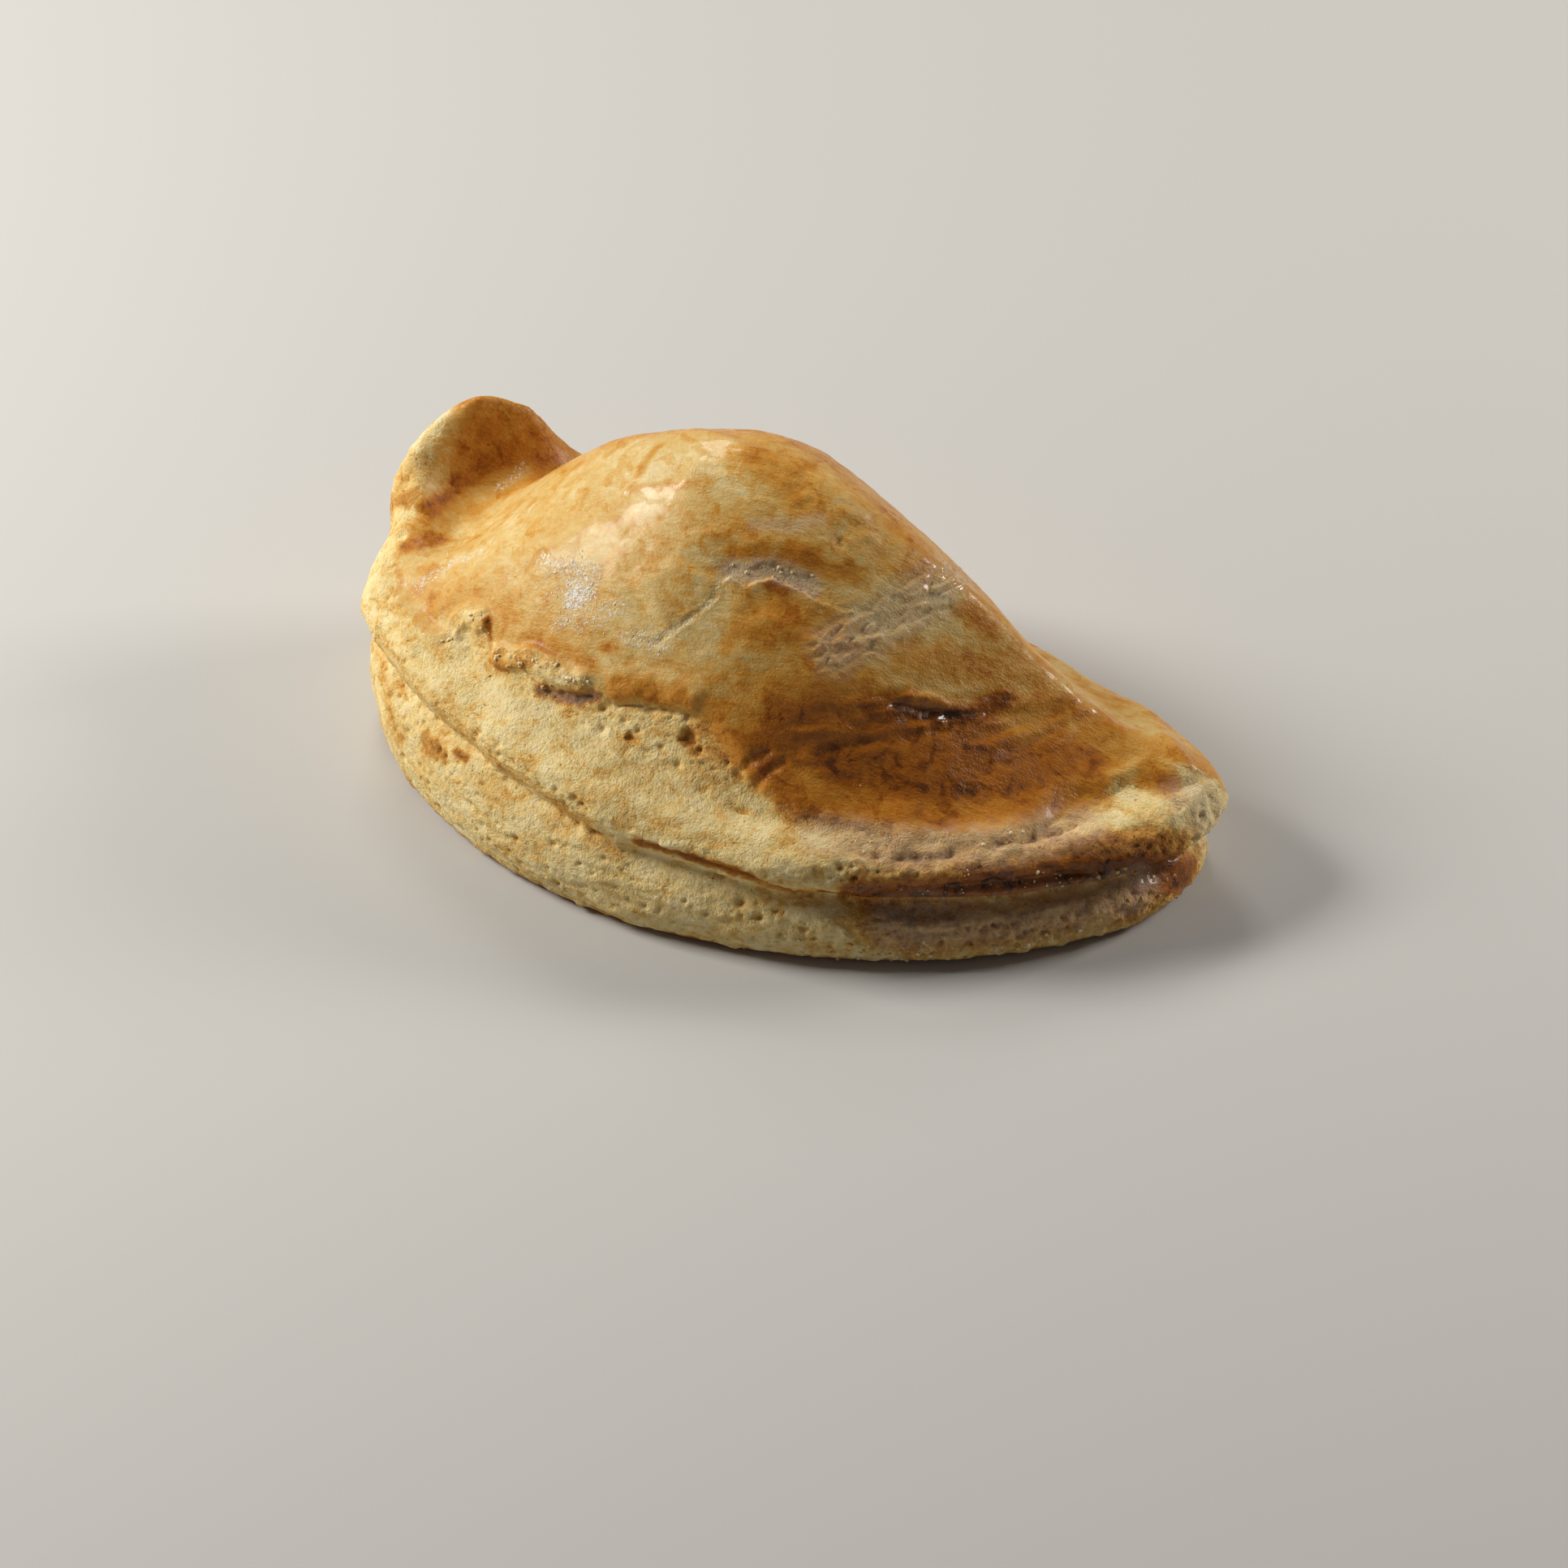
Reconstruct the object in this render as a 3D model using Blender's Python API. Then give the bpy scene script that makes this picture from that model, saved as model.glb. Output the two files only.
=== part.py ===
"""A baked half-moon turnover: one solid of risen shortcrust dough.

The crust is lofted over spokes that run from the summit of its dome out to the rim, down the two
layers of the cut edge, and back under the flat base. A table of places round the rim drives it.
Sizes are in millimetres up to the last step, which scales them to metres. +X runs to the thin tip,
+Y to the folded back, and the base lies on Z = 0.
"""

import math
from typing import NamedTuple

import bmesh
import bpy
import numpy as np
from mathutils import Vector, noise

METRES = 0.001
CRUST_COLOUR = (0.72, 0.44, 0.16, 1.0)
CRUST_ROUGHNESS = 0.5

SUMMIT = np.array([-10.0, 9.0, 51.0])
BASE_MIDDLE = np.array([-4.0, -2.0, 0.0])
SPOKES = 288
RINGS = 120
# Rows of the table to each side over which the outline's direction is taken.
NEARBY = 0.45
# How many neighbouring spokes the dome is rounded over near its summit.
ROUNDING = 24
TRIANGLES = 11500

# Shares of a spoke that the dome, the cut edge and the base take.
DOME_SHARE = 0.46
EDGE_SHARE = 0.42

# The crease inside the turned-up corner, as a place along the spoke and a width.
CREASE_AT = 0.84
CREASE_WIDTH = 0.16

# Shares of each layer's height at which it stands out furthest, and the inset of the foot under it.
UPPER_LIP = 0.42
LOWER_LIP = 0.45
FOOT_INSET = 4.0

# Soft lumps all over: two sizes, and how far each stands out.
LUMP_SIZES = (17.0, 7.0)
LUMP_HEIGHTS = (0.7, 0.35)
# The layers of the cut edge: bands down the edge, how long they run, and how far they stand out.
LAYER_BANDS = 26.0
LAYER_RUN = 2.2
LAYER_HEIGHT = 0.6
# The torn rim of the top skin: its step, the wander of its line, and where it gives way to a fold.
SKIN_STEP = 1.3
SKIN_SLOPE = 1.2
TEAR_SIZES = (5.0, 2.5)
TEAR_WANDER = (1.6, 0.9)
SPOKE_LENGTH = 48.0
FOLDED_BELOW = -4.0
# The crack over the dome, as points in plan, and how deep and wide it is.
CRACK = ((-15.7, -16.1), (-10.5, -12.3), (-7.4, -9.1), (-1.0, -7.2), (6.1, -7.5), (9.1, -9.6))
CRACK_DEPTH = 1.5
CRACK_REACH = 1.5
CRACK_ENDS = 0.3
# The relief fades out over this height above the base.
BASE_FADE = 4.0


class Place(NamedTuple):
    """The rim at one place: its outermost point, and what its section does there."""

    x: float
    y: float
    crest_in: float
    crest_z: float
    upper_in: float
    seam_in: float
    seam_z: float
    lower_in: float
    base_z: float
    flare: float
    crease: float
    skin: float


RIM = {
    #                    x      y    crest       upper seam        lower base  flare crease skin
    "tip": Place(       63.5,   0.5,  5.5, 17.0,  0.0,  4.5,  8.0,  2.5,  0.0,  2.4,  0.0,  0.5),
    "tip back": Place(  54.5,  10.5,  8.0, 18.0,  0.0,  2.0,  8.5,  1.0,  0.0,  1.65, 0.0, -3.0),
    "back right": Place(38.0,  18.5,  6.0, 17.5,  0.5,  1.0,  9.0,  0.5,  0.0,  1.15, 0.0, -8.0),
    "back": Place(      17.0,  29.0,  1.8, 15.5,  0.5,  0.8,  8.0,  0.0,  0.0,  0.9,  0.0, -12.0),
    "back middle": Place(-5.0, 36.0,  1.5, 20.0,  0.5,  0.8, 10.0,  0.0,  0.0,  0.78, 0.0, -12.0),
    "back left": Place(-26.0,  36.0,  1.8, 19.0,  0.5,  1.0, 10.0,  0.0,  0.5,  1.1,  2.0, -12.0),
    "behind corner": Place(-42.0, 33.5, 5.0, 25.5, 1.0, 2.0, 15.0,  2.0,  2.5,  2.2,  6.0, -6.0),
    "corner": Place(   -55.0,  28.5,  4.0, 38.0,  0.5,  4.0, 22.0,  5.0,  5.0,  2.6, 14.0,  0.0),
    "corner left": Place(-65.0, 17.0, 3.5, 33.0,  0.0,  4.0, 22.0,  4.0,  3.0,  2.2, 12.5,  0.0),
    "neck": Place(     -63.3,   6.5,  4.5, 27.0,  0.0,  3.0, 17.0,  1.0,  1.0,  1.8,  6.0,  0.0),
    "left": Place(     -63.5,  -5.0,  7.5, 24.0,  0.0,  3.5, 16.0,  1.0,  0.0,  1.4,  0.0,  0.0),
    "front left": Place(-52.5, -20.0, 10.0, 23.5, 2.0,  4.5, 16.0,  0.0,  0.0,  1.15, 0.0,  2.0),
    "left of front": Place(-33.5, -32.5, 12.0, 23.0, 2.5, 5.0, 15.0, 0.0, 0.0,  1.05, 0.0,  2.0),
    "front": Place(    -12.0, -38.0, 12.0, 21.5,  2.0,  4.5, 12.5,  0.0,  0.0,  1.05, 0.0,  8.0),
    "right of front": Place(12.0, -37.0, 9.5, 19.0, 1.5, 4.5, 10.5,  0.0, 0.0,  1.35, 0.0,  1.0),
    "front right": Place(36.0, -29.5, 8.0, 17.5,  1.5,  5.0,  9.0,  0.0,  0.0,  1.9,  0.0, -1.0),
    "tip front": Place( 55.5, -15.5,  8.0, 16.5,  0.5,  5.0,  8.5,  0.0,  0.0,  2.4,  0.0,  4.0),
}


def round_the_rim(at):
    """The table's columns at places on a smooth closed curve; at counts rows from 0, as an array."""
    rows = np.array([list(place) for place in RIM.values()])
    first = np.floor(at).astype(int)
    t = (at - first)[:, None]
    before, start, end, after = (rows[(first + step) % len(rows)] for step in (-1, 0, 1, 2))
    # A Catmull-Rom curve through the rows.
    cubed = 3 * (start - end) + after - before
    squared = 2 * before - 5 * start + 4 * end - after
    return start + 0.5 * t * (end - before + t * (squared + t * cubed))


def even_places(count):
    """Row numbers, evenly spaced by length round the rim."""
    fine = np.linspace(0, len(RIM), 3000)
    outline = round_the_rim(fine)[:, :2]
    steps = np.hypot(*np.diff(outline, axis=0).T)
    walked = np.concatenate([[0], np.cumsum(steps)])
    return np.interp(np.arange(count) / count * walked[-1], walked, fine)


def outward(at):
    """The outline's outward normal in plan."""
    ahead = round_the_rim(at + NEARBY)[:, :2]
    behind = round_the_rim(at - NEARBY)[:, :2]
    along = ahead - behind
    return np.stack([along[:, 1], -along[:, 0]], axis=1) / np.hypot(*along.T)[:, None]


def quarter(start, end, t, out_first):
    """A quarter ellipse between two values: quick at its start where out_first, else at its end."""
    turn = 0.5 * math.pi * t
    return start + (end - start) * (np.sin(turn) if out_first else 1 - np.cos(turn))


def dome(rim, t, crest):
    """Points on the dome, from the summit at t 0 to the crest at t 1."""
    plan = SUMMIT[:2] + (crest - SUMMIT[:2]) * t[:, None]
    rise = (1 - t**2) ** rim["flare"]
    dip = np.exp(-0.5 * ((t - CREASE_AT) / CREASE_WIDTH) ** 2)
    dip -= math.exp(-0.5 * ((1 - CREASE_AT) / CREASE_WIDTH) ** 2) * t**6
    z = rim["crest_z"] + (SUMMIT[2] - rim["crest_z"]) * rise - rim["crease"] * dip
    return np.column_stack([plan, z])


def cut_edge(rim, t):
    """Inset and height down the cut edge: the upper layer, the seam, and the lower layer."""
    upper_z = rim["seam_z"] + UPPER_LIP * (rim["crest_z"] - rim["seam_z"])
    lower_z = rim["base_z"] + LOWER_LIP * (rim["seam_z"] - rim["base_z"])
    base_in = rim["lower_in"] + FOOT_INSET
    corners = [
        (rim["crest_in"], rim["crest_z"]),
        (rim["upper_in"], upper_z),
        (rim["seam_in"], rim["seam_z"]),
        (rim["lower_in"], lower_z),
        (base_in, rim["base_z"]),
    ]
    inset, height = np.zeros_like(t), np.zeros_like(t)
    for number, (here, there) in enumerate(zip(corners, corners[1:])):
        part = (t * 4 >= number) & (t * 4 <= number + 1)
        local = t * 4 - number
        out_first = number in (0, 2)
        inset = np.where(part, quarter(here[0], there[0], local, out_first), inset)
        height = np.where(part, quarter(here[1], there[1], local, not out_first), height)
    return inset, height


def crust(at, down):
    """Points of the plain form, for places round the rim and shares down the spoke from 0 to 1."""
    rim = dict(zip(Place._fields, round_the_rim(at).T))
    out = outward(at)
    edge_of_rim = np.column_stack([rim["x"], rim["y"]])
    crest = edge_of_rim - out * rim["crest_in"][:, None]
    top = dome(rim, np.clip(down / DOME_SHARE, 0, 1), crest)
    inset, height = cut_edge(rim, np.clip((down - DOME_SHARE) / EDGE_SHARE, 0, 1))
    side = np.column_stack([edge_of_rim - out * inset[:, None], height])
    last_in, last_z = cut_edge(rim, np.ones_like(down))
    foot = np.column_stack([edge_of_rim - out * last_in[:, None], last_z])
    back_in = np.clip((down - DOME_SHARE - EDGE_SHARE) / (1 - DOME_SHARE - EDGE_SHARE), 0, 1)[:, None]
    base = foot + (BASE_MIDDLE - foot) * back_in
    base[:, 2] = foot[:, 2] * (1 - back_in[:, 0]) ** 2
    points = np.where((down <= DOME_SHARE)[:, None], top, side)
    return np.where((down > DOME_SHARE + EDGE_SHARE)[:, None], base, points)


def rough(points, scale, seed):
    """Smooth noise from about -1 to 1 at each point, with lumps of about this many millimetres."""
    shift = Vector((seed, 2 * seed, 3 * seed))
    return np.array([noise.noise(Vector(point) / scale + shift) for point in points])


def ledge(distance, width):
    """1 on one side of a torn edge and 0 on the other, with a short slope of this width between."""
    ramp = np.clip(distance / width + 0.5, 0, 1)
    return ramp * ramp * (3 - 2 * ramp)


def beside(points, path):
    """Distance in plan from a path, and how far along it the nearest point is, from 0 to 1."""
    path = np.array(path)
    best = np.full(len(points), np.inf)
    along = np.zeros(len(points))
    for number, (start, end) in enumerate(zip(path, path[1:])):
        run = end - start
        share = np.clip((points[:, :2] - start) @ run / (run @ run), 0, 1)
        far = np.hypot(*(points[:, :2] - start - share[:, None] * run).T)
        nearer = far < best
        best = np.where(nearer, far, best)
        along = np.where(nearer, (number + share) / (len(path) - 1), along)
    return best, along


def lumps(points, sizes, heights, seed):
    """Noise of several sizes, added up."""
    pairs = enumerate(zip(sizes, heights))
    return sum(height * rough(points, size, seed + step) for step, (size, height) in pairs)


def layers(at, down):
    """The streaks of layered dough along the cut edge."""
    on_edge = ledge(down - DOME_SHARE, 0.03) * ledge(DOME_SHARE + EDGE_SHARE - down, 0.03)
    round_rim = np.column_stack([at * LAYER_RUN, down * LAYER_BANDS, np.zeros_like(at)])
    return LAYER_HEIGHT * on_edge * rough(round_rim, 1.0, 3)


def torn_skin(skin, down, ragged):
    """The step where the top skin ends in a ragged tear, short of the cut edge."""
    above_crest = (DOME_SHARE - down) / DOME_SHARE * SPOKE_LENGTH
    step = SKIN_STEP * (ledge(above_crest - skin + ragged, SKIN_SLOPE) - 0.5)
    return step * ledge(skin - FOLDED_BELOW, -FOLDED_BELOW)


def crack(points, ragged):
    """The split over the front of the dome, narrower at its ends."""
    far, along = beside(points, CRACK)
    depth = CRACK_DEPTH * np.interp(along, [0, 0.4, 0.6, 1], [CRACK_ENDS, 1, 1, CRACK_ENDS])
    on_dome = points[:, 2] > 0.5 * SUMMIT[2]
    return np.where(on_dome, depth * np.exp(-(((far + 0.6 * ragged) / CRACK_REACH) ** 2)), 0)


def relief(points, at, down):
    """How far each point of the plain form moves along its normal."""
    skin = round_the_rim(at)[:, Place._fields.index("skin")]
    ragged = lumps(points, TEAR_SIZES, TEAR_WANDER, 4)
    height = lumps(points, LUMP_SIZES, LUMP_HEIGHTS, 1) + layers(at, down)
    height += torn_skin(skin, down, ragged) - crack(points, ragged)
    return height * ledge(points[:, 2] - 0.6 * BASE_FADE, BASE_FADE)


def rounded_dome(form, down):
    """The form with each ring of the dome smoothed along itself, most of all near the summit."""
    waves = np.fft.fftfreq(SPOKES) * 2 * math.pi
    for row, share in zip(form, down):
        to_rim = max(1 - share / DOME_SHARE, 0)
        kept = np.exp(-0.5 * (waves * ROUNDING * to_rim) ** 2)
        row[:] = np.fft.ifft(np.fft.fft(row, axis=0) * kept[:, None], axis=0).real
    return form


def crust_material():
    """Golden baked crust."""
    material = bpy.data.materials.new("Golden crust")
    material.use_nodes = True
    shader = material.node_tree.nodes["Principled BSDF"]
    shader.inputs["Base Color"].default_value = CRUST_COLOUR
    shader.inputs["Roughness"].default_value = CRUST_ROUGHNESS
    shader.inputs["Metallic"].default_value = 0.0
    return material


def build_crust():
    """The pastry as one closed mesh object."""
    bm = bmesh.new()
    bmesh.ops.create_uvsphere(bm, u_segments=SPOKES, v_segments=RINGS, radius=1)
    ball = np.array([v.co for v in bm.verts])
    turn = np.arctan2(ball[:, 1], ball[:, 0]) % (2 * math.pi)
    spoke = np.rint(turn / (2 * math.pi) * SPOKES).astype(int) % SPOKES
    ring = np.rint(np.arccos(np.clip(ball[:, 2], -1, 1)) / math.pi * RINGS).astype(int)
    at = even_places(SPOKES)
    down = np.arange(RINGS + 1) / RINGS
    form = rounded_dome(np.array([crust(at, np.full(SPOKES, share)) for share in down]), down)
    for vertex, point in zip(bm.verts, form[ring, spoke]):
        vertex.co = point
    bmesh.ops.recalc_face_normals(bm, faces=bm.faces)
    bm.normal_update()
    points = np.array([v.co for v in bm.verts])
    normals = np.array([v.normal for v in bm.verts])
    points += normals * relief(points, at[spoke], down[ring])[:, None]
    points[:, 2] = np.maximum(points[:, 2], 0)
    middle = (points.min(axis=0) + points.max(axis=0)) / 2
    for vertex, point in zip(bm.verts, points - middle * (1, 1, 0)):
        vertex.co = point * METRES
    mesh = bpy.data.meshes.new("pastry")
    bm.to_mesh(mesh)
    bm.free()
    mesh.shade_smooth()
    mesh.materials.append(crust_material())
    thing = bpy.data.objects.new("pastry", mesh)
    bpy.context.scene.collection.objects.link(thing)
    thinned = thing.modifiers.new("Fewer triangles", "DECIMATE")
    thinned.ratio = TRIANGLES / (2 * SPOKES * (RINGS - 1))


def main():
    for old in list(bpy.data.objects):
        bpy.data.objects.remove(old)
    build_crust()


main()
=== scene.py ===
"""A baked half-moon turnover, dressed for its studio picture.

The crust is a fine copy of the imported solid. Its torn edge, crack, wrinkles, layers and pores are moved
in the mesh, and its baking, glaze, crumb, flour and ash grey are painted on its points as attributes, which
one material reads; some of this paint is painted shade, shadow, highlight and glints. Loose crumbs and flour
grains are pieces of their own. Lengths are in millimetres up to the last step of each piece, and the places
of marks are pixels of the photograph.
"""

import logging
import math
from dataclasses import dataclass, field
from enum import Enum

import bmesh
import bpy
import numpy as np
from mathutils import Matrix, Vector, kdtree, noise
from mathutils.bvhtree import BVHTree


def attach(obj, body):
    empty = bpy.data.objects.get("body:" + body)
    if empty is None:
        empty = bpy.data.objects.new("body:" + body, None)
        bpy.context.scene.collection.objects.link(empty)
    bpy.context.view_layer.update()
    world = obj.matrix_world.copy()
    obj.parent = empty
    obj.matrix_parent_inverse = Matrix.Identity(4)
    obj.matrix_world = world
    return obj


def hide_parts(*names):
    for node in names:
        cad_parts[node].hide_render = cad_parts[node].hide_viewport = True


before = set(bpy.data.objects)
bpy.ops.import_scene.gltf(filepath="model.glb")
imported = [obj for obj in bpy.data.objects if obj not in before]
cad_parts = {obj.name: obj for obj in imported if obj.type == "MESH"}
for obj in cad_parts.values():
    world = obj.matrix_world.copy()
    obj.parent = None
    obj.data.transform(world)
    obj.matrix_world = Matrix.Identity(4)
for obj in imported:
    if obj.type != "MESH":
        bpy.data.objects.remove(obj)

MM = 0.001
NODE = "pastry"
BODY = "root"
PIXELS_PER_MM = 8.7
# A Mix node set to colours has several sockets of one name, so they are given by number.
MIX_FACTOR = 0
MIX_FIRST = 6
MIX_SECOND = 7
MIX_RESULT = 2
# How far the streaks in the skin are turned from the pastry's length, in radians.
STREAK_TURN = 0.25
# How far apart the noise of one seed lies from that of the next.
SEED_SHIFT = 11.7
# Keeps a division by a length or a height from failing.
TINY = 1e-12
# How far down a normal points where the underside begins, and where it counts in full.
UNDERSIDE = (0.55, 0.85)
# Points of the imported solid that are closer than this, in metres, are one point.
WELD = 1e-6
log = logging.getLogger("turnover")


def add(name: str, data: bpy.types.ID) -> bpy.types.Object:
    """Adds an object to the scene and hands it back."""
    thing = bpy.data.objects.new(name, data)
    bpy.context.scene.collection.objects.link(thing)
    return thing


class Wire:
    """A shader socket that takes part in arithmetic; each operation adds a Math node."""

    def __init__(self, recipe: "Recipe", socket: bpy.types.NodeSocket) -> None:
        """Keeps the socket and the recipe that its nodes go in."""
        self.recipe = recipe
        self.socket = socket

    def _math(self, operation: str, first: object, second: object) -> "Wire":
        """Adds a Math node of two values."""
        return self.recipe.node("ShaderNodeMath", {"operation": operation}, {0: first, 1: second})

    def __add__(self, other: object) -> "Wire":
        """This plus other."""
        return self._math("ADD", self, other)

    def __radd__(self, other: object) -> "Wire":
        """Other plus this."""
        return self._math("ADD", other, self)

    def __sub__(self, other: object) -> "Wire":
        """This less other."""
        return self._math("SUBTRACT", self, other)

    def __rsub__(self, other: object) -> "Wire":
        """Other less this."""
        return self._math("SUBTRACT", other, self)

    def __mul__(self, other: object) -> "Wire":
        """This times other."""
        return self._math("MULTIPLY", self, other)

    def __rmul__(self, other: object) -> "Wire":
        """Other times this."""
        return self._math("MULTIPLY", other, self)

    def clamped(self) -> "Wire":
        """This, kept between 0 and 1."""
        return self.recipe.node("ShaderNodeClamp", {}, {"Value": self})


@dataclass(frozen=True)
class Noise:
    """One layer of noise in a material, with the size of its features in millimetres."""

    size: float
    detail: float = 2.0
    roughness: float = 0.5
    swirl: float = 0.0
    weight: float = 1.0


class Recipe:
    """A material's node tree, built by method calls."""

    def __init__(self, name: str) -> None:
        """Makes an empty material with a Principled BSDF in it."""
        self.material = bpy.data.materials.new(name)
        self.material.use_nodes = True
        self.tree = self.material.node_tree
        self.shader = self.tree.nodes["Principled BSDF"]
        self.place = self.node("ShaderNodeTexCoord", {}, {}, "Object")

    def node(self, kind: str, settings: dict, sockets: dict, output: object = 0) -> Wire:
        """Adds any node.

        Args:
            kind: the node's type.
            settings: its properties, set first; "stops" are a colour ramp's.
            sockets: values or wires for its inputs, by name or number.
            output: which output to hand back.

        Returns:
            The chosen output.
        """
        made = self.tree.nodes.new(kind)
        for key, value in settings.items():
            if key == "stops":
                self._set_stops(made.color_ramp, value)
            else:
                setattr(made, key, value)
        for key, value in sockets.items():
            self.feed(made.inputs[key], value)
        return Wire(self, made.outputs[output])

    def feed(self, socket: bpy.types.NodeSocket, value: object) -> None:
        """Links a wire to a socket, or sets the socket to a plain value."""
        if isinstance(value, Wire):
            self.tree.links.new(value.socket, socket)
        else:
            socket.default_value = value

    @staticmethod
    def _set_stops(ramp: bpy.types.ColorRamp, stops: tuple) -> None:
        """Gives a colour ramp its stops, each a place and a colour."""
        while len(ramp.elements) < len(stops):
            ramp.elements.new(1.0)
        for element, (place, colour) in zip(ramp.elements, stops):
            element.position = place
            element.color = (*colour, 1.0)

    def _noise(self, layer: Noise, place: Wire) -> Wire:
        """A layer of noise at a place, from about -0.5 to 0.5 times its weight."""
        sockets = {"Vector": place, "Scale": 1 / (layer.size * MM), "Detail": layer.detail}
        sockets |= {"Roughness": layer.roughness, "Distortion": layer.swirl}
        return (self.node("ShaderNodeTexNoise", {}, sockets) - 0.5) * layer.weight

    def grain(self, layer: Noise) -> Wire:
        """Noise with round features."""
        return self._noise(layer, self.place)

    def streak(self, layer: Noise, drawn: float) -> Wire:
        """Noise drawn out along the pastry's length; drawn is its share of the scale there."""
        sockets = {"Vector": self.place, "Rotation": (0.0, 0.0, STREAK_TURN), "Scale": (drawn, 1.0, 1.0)}
        return self._noise(layer, self.node("ShaderNodeMapping", {}, sockets))

    def cells(self, size: float) -> Wire:
        """Distance to the middle of the nearest cell, up to about 1; cells are this size in millimetres."""
        sockets = {"Vector": self.place, "Scale": 1 / (size * MM)}
        return self.node("ShaderNodeTexVoronoi", {}, sockets, "Distance")

    def painted(self, name: str) -> Wire:
        """The value painted on the mesh under this name."""
        return self.node("ShaderNodeAttribute", {"attribute_name": name}, {}, "Fac")

    def ramp(self, factor: Wire, stops: tuple) -> Wire:
        """A colour from a ramp."""
        return self.node("ShaderNodeValToRGB", {"stops": stops}, {0: factor}, "Color")

    def mix(self, factor: object, first: object, second: object) -> Wire:
        """One colour going over into another."""
        sockets = {MIX_FACTOR: factor, MIX_FIRST: first, MIX_SECOND: second}
        return self.node("ShaderNodeMix", {"data_type": "RGBA"}, sockets, MIX_RESULT)

    def step(self, value: Wire, low: float, high: float) -> Wire:
        """0 up to low, 1 from high on, and a smooth rise between."""
        settings = {"interpolation_type": "SMOOTHSTEP"}
        sockets = {"Value": value, "From Min": low, "From Max": high}
        return self.node("ShaderNodeMapRange", settings, sockets)

    def finish(self, **values: object) -> bpy.types.Material:
        """Feeds the shader's own sockets, named with underscores for spaces, and hands back the material."""
        for name, value in values.items():
            self.feed(self.shader.inputs[name.replace("_", " ")], value)
        return self.material


# Colours of skin and of bare crumb as they bake, from palest to darkest, in linear light.
SKIN_RAMP = (
    (0.0, (0.76, 0.60, 0.31)),
    (0.15, (0.67, 0.46, 0.165)),
    (0.35, (0.61, 0.315, 0.062)),
    (0.50, (0.53, 0.22, 0.026)),
    (0.65, (0.40, 0.132, 0.012)),
    (0.80, (0.26, 0.076, 0.008)),
    (1.0, (0.05, 0.016, 0.005)),
)
CRUMB_RAMP = (
    (0.0, (0.86, 0.70, 0.37)),
    (0.15, (0.80, 0.61, 0.265)),
    (0.32, (0.72, 0.44, 0.13)),
    (0.52, (0.55, 0.26, 0.055)),
    (0.78, (0.25, 0.090, 0.020)),
    (1.0, (0.06, 0.026, 0.012)),
)
FLOUR_AND_GLINT_WHITE = (0.89, 0.85, 0.76, 1.0)
ASH_GREY_AND_SHADE = (0.63, 0.52, 0.39, 1.0)


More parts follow.
